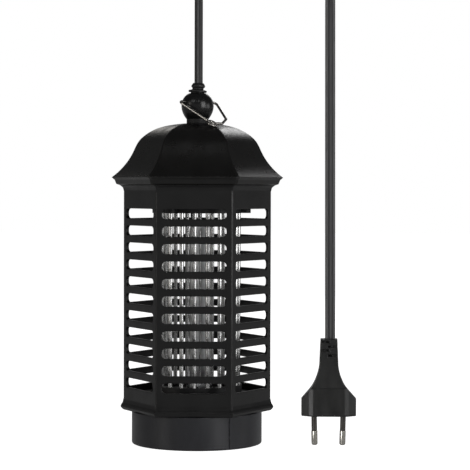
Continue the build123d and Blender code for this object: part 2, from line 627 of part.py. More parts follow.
with BuildPart() as lamp_leads:
    for side in (-1, 1):
        x = LEAD_TUBE_X + side * LEAD_GAP / 2
        add_wire(
            (
                (x, LEAD_TUBE_Y, BOARD_BOTTOM),
                (x, LEAD_TUBE_Y, LEAD_LOW_Z),
                (x, SOCKET_LEAD_Y, LEAD_LOW_Z),
                (x, SOCKET_LEAD_Y, SOCKET_BOTTOM),
            ),
            LEAD_R, LEAD_BEND,
        )

# ================================================================ circuit board and what it carries
with BuildPart() as circuit_board:
    add_block(0, 0, BOARD_BOTTOM, (*BOARD_SIZE, BOARD_THICKNESS))
    for x, y in BOARD_PLACES:
        add_column(x, y, BOARD_BOTTOM, BOARD_TOP, BOARD_SCREW_R + SMALL_SCREW_SLACK, mode=Mode.SUBTRACT)

with BuildPart() as board_screws:
    for x, y in BOARD_PLACES:
        add_column(x, y, BOARD_TOP, BOARD_TOP + BOARD_SCREW_HEAD_H, BOARD_SCREW_HEAD_R)
        add_column(x, y, BOARD_BOTTOM - BOARD_SCREW_DEPTH, BOARD_TOP, BOARD_SCREW_R)
        cut_driver_slot(x, y, BOARD_TOP + BOARD_SCREW_HEAD_H, BOARD_SCREW_HEAD_R, downward=False)

with BuildPart() as capacitors:
    for x, y in FILM_CAP_PLACES:
        add_block(x, y, BOARD_TOP, FILM_CAP_SIZE, corner=FILM_CAP_CORNER)
    add_column(*CAN_PLACE, BOARD_TOP, BOARD_TOP + CAN_HEIGHT, CAN_R)


def add_axial(x, y, radius, length):
    """Add a leaded component that lies on the board along X."""
    height = BOARD_TOP + radius
    with BuildSketch(Plane(origin=(x - length / 2, y, height), z_dir=(1, 0, 0))) as section:
        Circle(radius)
    extrude(section.sketch, amount=length)
    for side in (-1, 1):
        leg_x = x + side * (length / 2 + COMPONENT_LEG_REACH)
        with BuildSketch(Plane(origin=(x, y, height), z_dir=(side, 0, 0))) as section:
            Circle(COMPONENT_LEG_R)
        extrude(section.sketch, amount=length / 2 + COMPONENT_LEG_REACH + COMPONENT_LEG_R)
        add_column(leg_x, y, BOARD_TOP, height, COMPONENT_LEG_R)


with BuildPart() as diodes:
    for x, y in DIODE_PLACES:
        add_axial(x, y, DIODE_R, DIODE_LENGTH)

with BuildPart() as resistors:
    for x, y in RESISTOR_PLACES:
        add_axial(x, y, RESISTOR_R, RESISTOR_LENGTH)

with BuildPart() as grid_leads:
    for x, y in (LIVE_TAIL_PLACE, NEUTRAL_TAIL_PLACE):
        board_x = x * GRID_LEAD_INSET
        board_y = y * GRID_LEAD_INSET
        add_wire(
            (
                (x, y, GRID_TAIL_TOP), (x, y, GRID_LEAD_Z),
                (board_x, board_y, GRID_LEAD_Z), (board_x, board_y, BOARD_BOTTOM),
            ),
            LEAD_R, LEAD_BEND / 2,
        )

# ================================================================ cord and its clamp
with BuildPart() as cord:
    with BuildLine() as cord_path:
        FilletPolyline(
            (0, 0, CORD_INNER_END), (0, 0, CORD_CREST),
            (PLUG_X, PLUG_Y, CORD_CREST), (PLUG_X, PLUG_Y, PLUG_BORE_BOTTOM),
            radius=CORD_BEND,
        )
    with BuildSketch(Plane(origin=(0, 0, CORD_INNER_END), x_dir=CORD_BROAD, z_dir=UP)):
        SlotOverall(*CORD_SIZE)
    sweep(path=cord_path.line)

with BuildPart() as cord_clamp:
    clamp_size = (*CLAMP_SIZE, CLAMP_HEIGHTS[1] - CLAMP_HEIGHTS[0])
    add_block(0, 0, CLAMP_HEIGHTS[0], clamp_size, CORD_TURN, CLAMP_CORNER)
    cut_cord_bore(*CLAMP_HEIGHTS)
    for side in (-1, 1):
        spot = CORD_BROAD * (side * CLAMP_SCREW_GAP / 2)
        add_column(spot.X, spot.Y, *CLAMP_HEIGHTS, CLAMP_SCREW_R + SMALL_SCREW_SLACK, mode=Mode.SUBTRACT)

with BuildPart() as clamp_screws:
    for side in (-1, 1):
        spot = CORD_BROAD * (side * CLAMP_SCREW_GAP / 2)
        add_column(spot.X, spot.Y, CLAMP_HEIGHTS[0] - SCREW_HEAD_H, CLAMP_HEIGHTS[0], SCREW_HEAD_R)
        add_column(spot.X, spot.Y, CLAMP_HEIGHTS[0], CLAMP_SCREW_TOP, CLAMP_SCREW_R)
        cut_driver_slot(spot.X, spot.Y, CLAMP_HEIGHTS[0] - SCREW_HEAD_H, SCREW_HEAD_R, downward=True)

with BuildPart() as cord_cores:
    for side in (-1, 1):
        start = CORD_BROAD * (side * CORE_GAP / 2)
        foot = Vector(CORD_CORE_X, 0, 0) + CORD_BROAD * (side * CORE_GAP)
        add_wire(
            (
                start + UP * CORD_INNER_END,
                start + UP * (CORD_INNER_END - CORE_BEND * 2),
                foot + UP * (BOARD_TOP + CORE_BEND * 2),
                foot + UP * BOARD_TOP,
            ),
            CORE_R, CORE_BEND / 2,
        )

# ================================================================ plug
def pin_plane(side, along):
    """Return the plane across a plug pin at a distance above the pin's tip."""
    drop = PIN_LENGTH - along
    lean = radians(PIN_LEAN)
    return Plane(
        origin=(
            PLUG_X + side * (PIN_GAP / 2 - drop * sin(lean)), PLUG_Y, PLUG_BOTTOM - drop * cos(lean),
        ),
        z_dir=(side * sin(lean), 0, cos(lean)),
    )


with BuildPart() as plug_body:
    with BuildSketch(PLUG_FRONT):
        with BuildLine():
            Polyline((0, PLUG_BOTTOM), (PLUG_HALF_WIDTH, PLUG_BOTTOM), PLUG_FLARE[0])
            Spline(*PLUG_FLARE)
            Polyline(PLUG_FLARE[-1], (RELIEF_HALF_WIDTH, PLUG_TOP), (0, PLUG_TOP), (0, PLUG_BOTTOM))
        make_face()
        mirror(about=Plane.YZ)
    extrude(amount=PLUG_HALF_WIDTH, both=True)
    with BuildSketch(PLUG_END):
        with BuildLine():
            Polyline((0, PLUG_BOTTOM), *PLUG_SIDE, (0, PLUG_TOP), close=True)
        make_face()
        mirror(about=Plane.YZ)
    extrude(amount=PLUG_HALF_WIDTH, both=True, mode=Mode.INTERSECT)
    with BuildSketch(Plane.XY.offset(PLUG_BOTTOM)):
        with Locations((PLUG_X, PLUG_Y)):
            Polygon(*[
                (across * x, along * y)
                for across, along in ((1, 1), (-1, 1), (-1, -1), (1, -1))
                for x, y in PLUG_SECTION[::across * along]
            ])
    extrude(amount=PLUG_TOP - PLUG_BOTTOM, mode=Mode.INTERSECT)
    fillet(plug_body.faces().sort_by(Axis.Z)[0].edges(), radius=PLUG_EDGE)
    for side, height in RELIEF_GROOVES:
        for face in (-1, 1):
            offset = face * (PLUG_SIDE[-1][0] - GROOVE_DEPTH + GROOVE_CUTTER / 2)
            add_block(
                PLUG_X + side * RELIEF_HALF_WIDTH / 2, PLUG_Y + offset, height - GROOVE_HEIGHT / 2,
                (RELIEF_HALF_WIDTH * GROOVE_SPAN, GROOVE_CUTTER, GROOVE_HEIGHT), mode=Mode.SUBTRACT,
            )
    add_column(PLUG_X, PLUG_Y, PLUG_BORE_BOTTOM, PLUG_TOP, PLUG_BORE_R, mode=Mode.SUBTRACT)
    for side in (-1, 1):
        with BuildSketch(pin_plane(side, PIN_LENGTH - PIN_R)):
            Circle(PIN_SLEEVE_R)
        extrude(amount=PIN_ROOT + PIN_R, mode=Mode.SUBTRACT)

with BuildPart() as plug_pins:
    for side in (-1, 1):
        with BuildSketch(pin_plane(side, 0)):
            Circle(PIN_R)
        extrude(amount=PIN_TIP_LENGTH)
        with BuildSketch(pin_plane(side, PIN_TIP_LENGTH)):
            Circle(PIN_CORE_R)
        extrude(amount=PIN_LENGTH - PIN_TIP_LENGTH + PIN_ROOT)
    tips = plug_pins.edges().filter_by(GeomType.CIRCLE).sort_by(Axis.Z)[:2]
    fillet(tips, radius=PIN_TIP_FILLET)

with BuildPart() as pin_sleeves:
    for side in (-1, 1):
        with BuildSketch(pin_plane(side, PIN_TIP_LENGTH)):
            Circle(PIN_SLEEVE_R)
            Circle(PIN_CORE_R, mode=Mode.SUBTRACT)
        extrude(amount=PIN_LENGTH - PIN_TIP_LENGTH + PIN_ROOT)

# ================================================================ bail
with BuildPart() as bail:
    with BuildLine(BAIL_PLANE) as bail_path:
        FilletPolyline(
            (-BAIL_PIVOT_INNER, 0), (-BAIL_REACH, 0), BAIL_EYE_CORNER, BAIL_FOOT_CORNER,
            BAIL_FAR_CORNER, (BAIL_REACH, 0), (BAIL_PIVOT_INNER, 0), radius=BAIL_BEND,
        )
    with BuildSketch(Plane(origin=bail_path.line @ 0, z_dir=bail_path.line % 0)):
        Circle(BAIL_WIRE_R)
    sweep(path=bail_path.line)
    eye = BAIL_PLANE.from_local_coords(Vector(*BAIL_EYE_CORNER, 0))
    with Locations(Plane(origin=eye, z_dir=BAIL_PLANE.z_dir)):
        Torus(BAIL_EYE_R, BAIL_WIRE_R)

SUB_PARTS = {
    "tray": tray,
    "housing": housing,
    "roof": roof,
    "head_screws": head_screws,
    "finial": finial,
    "finial_nut": finial_nut,
    "cord_bush": cord_bush,
    "top_insulator": top_insulator,
    "bottom_insulator": bottom_insulator,
    "plate_screws": plate_screws,
    "grid_live": grid_live,
    "grid_neutral": grid_neutral,
    "grid_leads": grid_leads,
    "lamp_tube": lamp_tube,
    "lamp_cap": lamp_cap,
    "lamp_pins": lamp_pins,
    "lamp_socket": lamp_socket,
    "lead_tube": lead_tube,
    "lamp_leads": lamp_leads,
    "circuit_board": circuit_board,
    "board_screws": board_screws,
    "capacitors": capacitors,
    "diodes": diodes,
    "resistors": resistors,
    "cord": cord,
    "cord_clamp": cord_clamp,
    "clamp_screws": clamp_screws,
    "cord_cores": cord_cores,
    "plug_body": plug_body,
    "plug_pins": plug_pins,
    "pin_sleeves": pin_sleeves,
    "bail": bail,
}

os.makedirs("parts", exist_ok=True)
for name, builder in SUB_PARTS.items():
    builder.part.label = name
    export_step(builder.part, f"parts/{name}.step")
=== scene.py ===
import math

import bpy
from mathutils import Matrix, Vector


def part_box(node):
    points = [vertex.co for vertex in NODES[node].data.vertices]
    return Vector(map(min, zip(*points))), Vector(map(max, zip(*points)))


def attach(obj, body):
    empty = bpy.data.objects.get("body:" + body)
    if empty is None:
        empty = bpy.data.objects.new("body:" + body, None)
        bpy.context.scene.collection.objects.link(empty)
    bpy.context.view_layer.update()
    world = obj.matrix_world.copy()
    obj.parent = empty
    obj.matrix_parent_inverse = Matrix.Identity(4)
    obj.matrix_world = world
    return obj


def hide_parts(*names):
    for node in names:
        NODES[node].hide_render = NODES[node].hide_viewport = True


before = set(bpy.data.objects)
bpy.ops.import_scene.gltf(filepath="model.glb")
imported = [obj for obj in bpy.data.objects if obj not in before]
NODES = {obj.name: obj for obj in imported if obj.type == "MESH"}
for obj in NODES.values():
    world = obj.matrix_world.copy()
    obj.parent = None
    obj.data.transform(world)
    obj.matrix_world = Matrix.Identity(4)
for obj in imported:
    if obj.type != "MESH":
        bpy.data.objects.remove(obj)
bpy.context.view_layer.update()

# Lengths are in metres, unless a comment says otherwise.
MM = 0.001
WHITE = (1, 1, 1, 1)

# ------------------------------------------------------------------ shader helpers


class Nodes:
    """A node tree with short ways to add nodes and sums."""

    def __init__(self, tree):
        self.tree = tree

    def add(self, kind, settings=None, **inputs):
        node = self.tree.nodes.new(kind)
        for key, value in (settings or {}).items():
            setattr(node, key, value)
        for key, value in inputs.items():
            self.feed(node.inputs[key.replace("_", " ")], value)
        return node

    def feed(self, socket, value):
        if isinstance(value, bpy.types.NodeSocket):
            self.tree.links.new(value, socket)
        else:
            socket.default_value = value

    def join(self, kind, *parts):
        """Return the output of a node whose inputs are fed in order."""
        node = self.tree.nodes.new(kind)
        for socket, part in zip(node.inputs, parts):
            self.feed(socket, part)
        return node.outputs[0]

    def spread(self, value, low, high, start=0.0, end=1.0, smooth=False):
        """Map the range low to high onto start to end, held at its ends."""
        settings = {"interpolation_type": "SMOOTHSTEP" if smooth else "LINEAR"}
        node = self.add("ShaderNodeMapRange", settings, Value=value)
        for key, number in (("From Min", low), ("From Max", high), ("To Min", start), ("To Max", end)):
            self.feed(node.inputs[key], number)
        return node.outputs[0]

    def maths(self, operation, first, second=0.0):
        node = self.add("ShaderNodeMath", {"operation": operation})
        self.feed(node.inputs[0], first)
        self.feed(node.inputs[1], second)
        return node.outputs[0]


class Shader(Nodes):
    """A node material with a Principled BSDF and short ways to add noise, mixes and bump."""

    def __init__(self, name):
        self.material = bpy.data.materials.new(name)
        self.material.use_nodes = True
        super().__init__(self.material.node_tree)
        self.bsdf = self.tree.nodes["Principled BSDF"]
        self.output = self.tree.nodes["Material Output"]
        self.coordinates = self.tree.nodes.new("ShaderNodeTexCoord").outputs["Object"]

    def noise(self, scale, detail=3.0, roughness=0.55, stretch=(1, 1, 1)):
        place = self.add("ShaderNodeMapping", Vector=self.coordinates, Scale=stretch)
        return self.add(
            "ShaderNodeTexNoise", Vector=place.outputs[0], Scale=scale, Detail=detail, Roughness=roughness
        ).outputs["Fac"]

    def blend(self, factor, first, second):
        node = self.add("ShaderNodeMix", {"data_type": "RGBA"})
        self.feed(node.inputs[0], factor)
        self.feed(node.inputs[6], (*first, 1) if isinstance(first, tuple) else first)
        self.feed(node.inputs[7], (*second, 1) if isinstance(second, tuple) else second)
        return node.outputs[2]

    def bump(self, height, strength, distance, normal=None):
        node = self.add("ShaderNodeBump", Height=height, Strength=strength, Distance=distance)
        if normal is not None:
            self.feed(node.inputs["Normal"], normal)
        return node.outputs[0]

    def height(self):
        return self.add("ShaderNodeSeparateXYZ", Vector=self.coordinates).outputs["Z"]

    def rounded(self, edge):
        """Return the surface normal with its edges rounded over, edge wide."""
        return self.add("ShaderNodeBevel", {"samples": BEVEL_SAMPLES}, Radius=edge).outputs[0]

    def set(self, **inputs):
        """Feed inputs of the Principled BSDF."""
        for key, value in inputs.items():
            self.feed(self.bsdf.inputs[key.replace("_", " ")], value)


# How fine each kind of mark is, in noise cells per metre.
GRAIN_SCALE = 2600.0
FRECKLE_SCALE = 1900.0
RUB_SCALE = 260.0
WARP_SCALE = 38.0
TARNISH_SCALE = 150.0
PIT_SCALE = 2400.0
BLOOM_SCALE = 95.0
DUST_SCALE = 1500.0
RUBBER_GRAIN_SCALE = 1800.0
EXTRUSION_SCALE = 700.0
PHOSPHOR_SCALE = 420.0
SMUDGE_SCALE = 120.0
GLASS_WAVE_SCALE = 300.0

# How much of a mark shows, from 0 to 1, and its colour.
FRECKLE_SHARE = 0.22
FRECKLE_COLOUR = (0.12, 0.115, 0.11)
DUST_SHARE = 0.18
DUST_COLOUR = (0.16, 0.15, 0.145)
BURNT_SHARE = 0.8
BURNT_COLOUR = (0.07, 0.065, 0.07)
PIT_SHARE = 0.35
PIT_DARKNESS = 0.35
# How much paler the edges are painted: partly worn paleness, partly a painted highlight along the edges.
EDGE_WEAR_AND_HIGHLIGHT_BRIGHTER = 4.0
EDGE_WEAR_AND_HIGHLIGHT_PALER = 0.012

# What wear adds to the roughness, and how much finer its patches are than the flow marks.
DULLED_ROUGHNESS = 0.35
RUBBED_ROUGHNESS = 0.25
PATCHES_FINER = 1.7

# How deep the relief is, in metres, and how strongly it tells.
GRAIN_DEPTH = 0.00006
WARP_DEPTH = 0.0008
WARP_STRENGTH = 0.12
BRUSHED_DEPTH = 0.00004
RUBBER_DEPTH = 0.00005
RUBBER_STRENGTH = 0.25
EXTRUSION_DEPTH = 0.00008
GLASS_DEPTH = 0.00005
GLASS_STRENGTH = 0.10

# Where a finish changes, in metres: across X for the cord's painted light, upwards from the cap for the
# tube.
PAINTED_LIGHT_SPAN = (0.03, 0.06)
BURNT_REACH = (0.003, 0.014)
DULL_FADE = 0.001

# An edge begins to show at the first agreement of the rounded and flat normals, fully at the second.
EDGE_FACING = (0.985, 0.80)
BEVEL_SAMPLES = 4


def moulded(name, dark, light, rough, grain, edge, edge_wear_and_highlight=0.35, flow=60.0, dull_below=0.0):
    """Injection-moulded plastic: flow marks, fine grain, dust freckles and edges painted paler, partly worn
    paleness and partly a painted highlight.

    The colour runs from dark to light. Rough is the roughness, grain the strength of the grain, edge
    the width of the rounded edges in metres, edge_wear_and_highlight how far they are painted paler as
    worn paleness and painted highlight, and flow how fine the flow marks are. Below the height dull_below
    the polish gives way to a dull finish.
    """
    shader = Shader(name)
    flow_marks = shader.noise(flow, 4.0, 0.6, (1, 1, 0.35))
    freckles = shader.spread(shader.noise(FRECKLE_SCALE, 2.0, 0.5), 0.70, 0.80)
    rounded = shader.rounded(edge)
    flat = shader.add("ShaderNodeNewGeometry").outputs["Normal"]
    facing = shader.add("ShaderNodeVectorMath", {"operation": "DOT_PRODUCT"})
    shader.feed(facing.inputs[0], rounded)
    shader.feed(facing.inputs[1], flat)
    edges = shader.spread(facing.outputs["Value"], *EDGE_FACING)
    # Edge mask in patches: worn paleness together with a painted edge highlight.
    patchy = shader.spread(shader.noise(RUB_SCALE, 3.0), 0.40, 0.66, 0.0, edge_wear_and_highlight)
    rubbed_and_highlit = shader.maths("MULTIPLY", edges, patchy)
    colour = shader.blend(shader.spread(flow_marks, 0.35, 0.68), dark, light)
    # Painted highlight: the edges are painted paler, partly worn and partly standing for light caught on
    # them.
    colour = shader.blend(rubbed_and_highlit, colour, tuple(EDGE_WEAR_AND_HIGHLIGHT_BRIGHTER * c + EDGE_WEAR_AND_HIGHLIGHT_PALER for c in light))
    colour = shader.blend(shader.maths("MULTIPLY", freckles, FRECKLE_SHARE), colour, FRECKLE_COLOUR)
    patches = shader.noise(flow * PATCHES_FINER, 4.0, 0.6)
    roughness = shader.spread(patches, 0.3, 0.7, rough - 0.05, rough + 0.07)
    roughness = shader.maths("ADD", roughness, shader.maths("MULTIPLY", rubbed_and_highlit, RUBBED_ROUGHNESS))
    if dull_below:
        dull = shader.spread(shader.height(), dull_below, dull_below - DULL_FADE)
        roughness = shader.maths("ADD", roughness, shader.maths("MULTIPLY", dull, DULLED_ROUGHNESS))
    relief = shader.bump(shader.noise(GRAIN_SCALE, 2.0, 0.6), grain, GRAIN_DEPTH, rounded)
    relief = shader.bump(shader.noise(WARP_SCALE, 2.0, 0.4), WARP_STRENGTH, WARP_DEPTH, relief)
    shader.set(Base_Color=colour, Roughness=roughness, Normal=relief, IOR=1.46)
    return shader.material


def metal(name, colour, tint, rough, brushed=(1, 1, 1), scale=900.0, edge=0.0001, grain=0.18):
    """Metal with fine drawing lines, cloudy tarnish and small pits.

    Brushed stretches the lines along an axis where it is small, and scale is how fine they are.
    Rough, grain and edge are as in moulded plastic.
    """
    shader = Shader(name)
    lines = shader.noise(scale, 3.0, 0.6, brushed)
    clouds = shader.noise(TARNISH_SCALE, 4.0, 0.6)
    pits = shader.spread(shader.noise(PIT_SCALE, 2.0), 0.68, 0.78)
    body = shader.blend(shader.spread(clouds, 0.38, 0.66), colour, tint)
    body = shader.blend(
        shader.maths("MULTIPLY", pits, PIT_SHARE), body, tuple(PIT_DARKNESS * c for c in tint)
    )
    roughness = shader.spread(lines, 0.3, 0.7, max(rough - 0.07, 0.03), rough + 0.10)
    relief = shader.bump(lines, grain, BRUSHED_DEPTH, shader.rounded(edge))
    shader.set(Base_Color=body, Metallic=1.0, Roughness=roughness, Normal=relief)
    return shader.material


def rubbery(name, dark, light, rough, lines=0.0, lit_paler=0.0):
    """Soft black rubber or cable sheath: bloom, dust, extrusion lines along Z and painted light, paler
    towards +X.

    Lines is how strong the extrusion lines are, and lit_paler how many times paler the far side is painted,
    as painted light.
    """
    shader = Shader(name)
    bloom = shader.noise(BLOOM_SCALE, 5.0, 0.65)
    dust = shader.spread(shader.noise(DUST_SCALE, 3.0), 0.60, 0.76)
    colour = shader.blend(shader.spread(bloom, 0.36, 0.66), dark, light)
    # Painted light: the side towards +X is painted paler, as if more light fell on it.
    if lit_paler:
        across = shader.add("ShaderNodeSeparateXYZ", Vector=shader.coordinates).outputs["X"]
        painted_light_colour = tuple(lit_paler * (a + b) / 2 for a, b in zip(dark, light))
        colour = shader.blend(shader.spread(across, *PAINTED_LIGHT_SPAN), colour, painted_light_colour)
    colour = shader.blend(shader.maths("MULTIPLY", dust, DUST_SHARE), colour, DUST_COLOUR)
    roughness = shader.spread(bloom, 0.3, 0.7, rough - 0.06, rough + 0.08)
    relief = shader.bump(shader.noise(RUBBER_GRAIN_SCALE, 3.0), RUBBER_STRENGTH, RUBBER_DEPTH)
    if lines:
        drawn = shader.noise(EXTRUSION_SCALE, 2.0, 0.5, (1, 1, 0.03))
        relief = shader.bump(drawn, lines, EXTRUSION_DEPTH, relief)
    shader.set(Base_Color=colour, Roughness=roughness, Normal=relief, IOR=1.48)
    shader.set(Sheen_Weight=0.03, Sheen_Roughness=0.5)
    return shader.material


# ------------------------------------------------------------------ materials

NECK_ABOVE_ROOF = 0.0035
UPRIGHT_LINES = (1, 1, 0.02)
DRAWN_LINES = (1, 1, 0.05)

# The moulded parts' edges are painted paler, partly worn paleness and partly painted highlight; the roof
# and tray most.
CAGE = moulded("cage_plastic", (0.0054, 0.0054, 0.0055), (0.0082, 0.0082, 0.0084), 0.34, 0.22, 0.0011)
ROOF = moulded(
    "roof_plastic", (0.0048, 0.0047, 0.0045), (0.0074, 0.0072, 0.0069), 0.30, 0.20, 0.0010, edge_wear_and_highlight=0.9
)
TRAY = moulded(
    "tray_plastic", (0.0200, 0.0204, 0.0238), (0.0290, 0.0296, 0.0341), 0.34, 0.25, 0.0010, edge_wear_and_highlight=0.7
)
FINIAL = moulded(
    "finial_plastic", (0.0048, 0.0048, 0.0050), (0.0075, 0.0075, 0.0078), 0.27, 0.10, 0.0004,
    dull_below=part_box("roof")[1].z + NECK_ABOVE_ROOF,
)
PLUG = moulded(
    "plug_plastic", (0.0065, 0.0065, 0.0064), (0.0150, 0.0150, 0.0146), 0.36, 0.55, 0.0011,
    edge_wear_and_highlight=0.6, flow=150.0,
)
INSULATOR = moulded("insulator_plastic", (0.012, 0.012, 0.013), (0.019, 0.019, 0.020), 0.55, 0.4, 0.0003)
SLEEVE = moulded("sleeve_plastic", (0.026, 0.023, 0.019), (0.038, 0.033, 0.028), 0.38, 0.3, 0.0002)
SOCKET = moulded("socket_plastic", (0.60, 0.59, 0.56), (0.72, 0.71, 0.68), 0.42, 0.3, 0.0003, edge_wear_and_highlight=0.1)
RESIN = moulded("diode_resin", (0.010, 0.010, 0.010), (0.016, 0.016, 0.016), 0.40, 0.3, 0.0002)
FILM = moulded("capacitor_film", (0.40, 0.030, 0.022), (0.52, 0.050, 0.035), 0.28, 0.3, 0.0004, edge_wear_and_highlight=0.1)
RESISTOR = moulded("resistor_film", (0.52, 0.40, 0.24), (0.63, 0.50, 0.33), 0.40, 0.3, 0.0002, edge_wear_and_highlight=0.1)
BOARD = moulded(
    "board_laminate", (0.018, 0.11, 0.035), (0.028, 0.15, 0.050), 0.38, 0.3, 0.0001, edge_wear_and_highlight=0.1, flow=240.0
)
CORE = moulded("core_sheath", (0.22, 0.09, 0.030), (0.29, 0.13, 0.045), 0.42, 0.2, 0.0001, edge_wear_and_highlight=0.1)
CORE_BLUE = moulded("core_sheath_blue", (0.02, 0.07, 0.30), (0.03, 0.10, 0.38), 0.42, 0.2, 0.0001, edge_wear_and_highlight=0.1)
CHROME = metal("bail_chrome", (0.38, 0.36, 0.34), (0.27, 0.26, 0.24), 0.20)
STEEL = metal("grid_steel", (0.78, 0.78, 0.77), (0.58, 0.58, 0.58), 0.24, UPRIGHT_LINES, 1600.0, grain=0.04)
SCREW = metal("screw_steel", (0.58, 0.58, 0.59), (0.42, 0.42, 0.43), 0.30, edge=0.0002)
PIN = metal("pin_nickel", (0.70, 0.68, 0.62), (0.55, 0.53, 0.48), 0.07, DRAWN_LINES, 1400.0, 0.0003)
CAP = metal("cap_aluminium", (0.72, 0.73, 0.74), (0.58, 0.59, 0.61), 0.30, edge=0.0004)
BRASS = metal("contact_brass", (0.80, 0.62, 0.28), (0.62, 0.46, 0.20), 0.25, edge=0.0002)
RUBBER = rubbery("bush_rubber", (0.0050, 0.0050, 0.0050), (0.0100, 0.0100, 0.0102), 0.40)
# The cord's run out towards the plug is painted paler, as painted light.
SHEATH = rubbery(
    "cord_sheath", (0.0080, 0.0078, 0.0084), (0.0140, 0.0137, 0.0145), 0.38, lines=0.25, lit_paler=1.9
)

NODE_MATERIALS = {
    "tray": TRAY, "housing": CAGE, "roof": ROOF, "head_screws": SCREW, "finial": FINIAL,
    "finial_nut": INSULATOR, "cord_bush": RUBBER, "top_insulator": INSULATOR,
    "bottom_insulator": INSULATOR, "plate_screws": SCREW, "grid_live": STEEL, "grid_neutral": STEEL,
    "grid_leads": CORE, "lamp_cap": CAP, "lamp_pins": BRASS, "lamp_socket": SOCKET,
    "lead_tube": INSULATOR, "lamp_leads": CORE, "circuit_board": BOARD, "board_screws": SCREW,
    "capacitors": FILM, "diodes": RESIN, "resistors": RESISTOR, "cord": SHEATH,
    "cord_clamp": INSULATOR, "clamp_screws": SCREW, "cord_cores": CORE, "plug_body": PLUG,
    "plug_pins": PIN, "pin_sleeves": SLEEVE, "bail": CHROME,
}


def coated_tube():
    """Clear glass over a pale phosphor, mottled and burnt dark above the cap."""
    shader = Shader("coated_tube")
    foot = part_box("lamp_cap")[1].z
    burnt = shader.spread(shader.height(), foot + BURNT_REACH[1], foot + BURNT_REACH[0])
    mottle = shader.spread(shader.noise(PHOSPHOR_SCALE, 4.0, 0.6), 0.35, 0.7)
    smudge = shader.noise(SMUDGE_SCALE, 4.0, 0.6)
    colour = shader.blend(mottle, (0.80, 0.81, 0.82), (0.90, 0.90, 0.90))
    colour = shader.blend(shader.maths("MULTIPLY", burnt, BURNT_SHARE), colour, BURNT_COLOUR)
    waves = shader.noise(GLASS_WAVE_SCALE, 2.0, 0.5, (1, 1, 0.05))
    relief = shader.bump(waves, GLASS_STRENGTH, GLASS_DEPTH)
    shader.set(Base_Color=colour, Roughness=shader.spread(smudge, 0.35, 0.75, 0.12, 0.28), Normal=relief)
    shader.set(Coat_Weight=1.0, Coat_Roughness=0.03, Coat_IOR=1.5)
    return shader.material


NODE_MATERIALS["lamp_tube"] = coated_tube()

for name, material in NODE_MATERIALS.items():
    mesh = NODES[name].data
    mesh.materials.clear()
    mesh.materials.append(material)

# ------------------------------------------------------------------ mesh helpers


def new_piece(name, vertices, faces, material):
    """Make a smooth mesh piece that rides on the lantern."""
    mesh = bpy.data.meshes.new(name)
    mesh.from_pydata([tuple(v) for v in vertices], [], faces)
    mesh.materials.append(material)
    mesh.validate()
    for polygon in mesh.polygons:
        polygon.use_smooth = True
    piece = bpy.data.objects.new(name, mesh)
    bpy.context.scene.collection.objects.link(piece)
    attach(piece, "lantern")
    return piece


def tube_mesh(rings):
    """Join equal rings of points into a tube with closed ends."""
    count = len(rings[0])
    vertices = [point for ring in rings for point in ring]
    faces = []
    for level in range(len(rings) - 1):
        for i in range(count):
            j = (i + 1) % count
            here = level * count
            above = here + count
            faces.append((here + i, here + j, above + j, above + i))
    faces.append(tuple(reversed(range(count))))
    faces.append(tuple((len(rings) - 1) * count + i for i in range(count)))
    return vertices, faces


def sweep_rings(path, section, start_side, twist=None):
    """Carry a section along a path without twisting, then add the asked twist at each point."""
    tangents = []
    for i in range(len(path)):
        before = path[max(i - 1, 0)]
        after = path[min(i + 1, len(path) - 1)]
        tangents.append((after - before).normalized())
    side = (start_side - tangents[0] * start_side.dot(tangents[0])).normalized()
    rings = []
    for i, (point, tangent) in enumerate(zip(path, tangents)):
        if i:
            turn = tangents[i - 1].rotation_difference(tangent)
            side = turn @ side
            side = (side - tangent * side.dot(tangent)).normalized()
        across = tangent.cross(side)
        angle = twist(i / (len(path) - 1)) if twist else 0.0
        u = side * math.cos(angle) + across * math.sin(angle)
        v = -side * math.sin(angle) + across * math.cos(angle)
        rings.append([point + u * x + v * y for x, y in section])
    return rings


def rounded_path(points, radius, step=8):
    """Return the points of a polyline whose inner corners are replaced by arcs."""
    path = [points[0].copy()]
    for before, corner, after in zip(points, points[1:], points[2:]):
        a = (before - corner).normalized()
        b = (after - corner).normalized()
        half = a.angle(b) / 2
        reach = radius / math.tan(half)
        centre = corner + (a + b).normalized() * (radius / math.sin(half))
        start = corner + a * reach - centre
        end = corner + b * reach - centre
        for k in range(step + 1):
            path.append(centre + start.normalized().slerp(end.normalized(), k / step) * radius)
    path.append(points[-1].copy())
    return path


def resample(path, spacing):
    """Return points at even spacing along a path."""
    lengths = [0.0]
    for a, b in zip(path, path[1:]):
        lengths.append(lengths[-1] + (b - a).length)
    count = max(2, round(lengths[-1] / spacing))
    result = []
    segment = 0
    for k in range(count + 1):
        target = lengths[-1] * k / count
        while segment < len(path) - 2 and lengths[segment + 1] < target:
            segment += 1
        span = lengths[segment + 1] - lengths[segment]
        part = (target - lengths[segment]) / span if span else 0
        result.append(path[segment].lerp(path[segment + 1], part))
    return result


def circle_section(radius, count):
    angles = [2 * math.pi * i / count for i in range(count)]
    return [(radius * math.cos(angle), radius * math.sin(angle)) for angle in angles]


# ------------------------------------------------------------------ cord

# The cord's size and run.
CORD_HALF_THICKNESS = 0.0019
CORD_HALF_WIDTH = 0.00325
CORD_SIDES = 40
CORD_SPACING = 0.0018
BEND_STEPS = 48
CORD_BEND = 0.050
CORD_INNER_END = 0.198
CORD_PLUG_END = 0.0590
# How the cord turns about itself (in degrees, between two shares of its run), leans at the lantern and
# hangs above the plug.
PLUG_CORD_TURN = -8.0
TWIST_SPAN = (0.30, 0.62)
CORD_LEAN = 0.00070
HANG_OFFSET = 0.00078
HANG_SLOPE = 0.0037
SWAY_EASE = 0.012
LEAN_EASE = 0.006
LEAN_FROM = 0.001
# The shape of its section.
CORE_FLATNESS = 0.55
CORE_SQUARENESS = 0.75
VALLEY_DEPTH = 0.17
VALLEY_WIDTH = 0.32

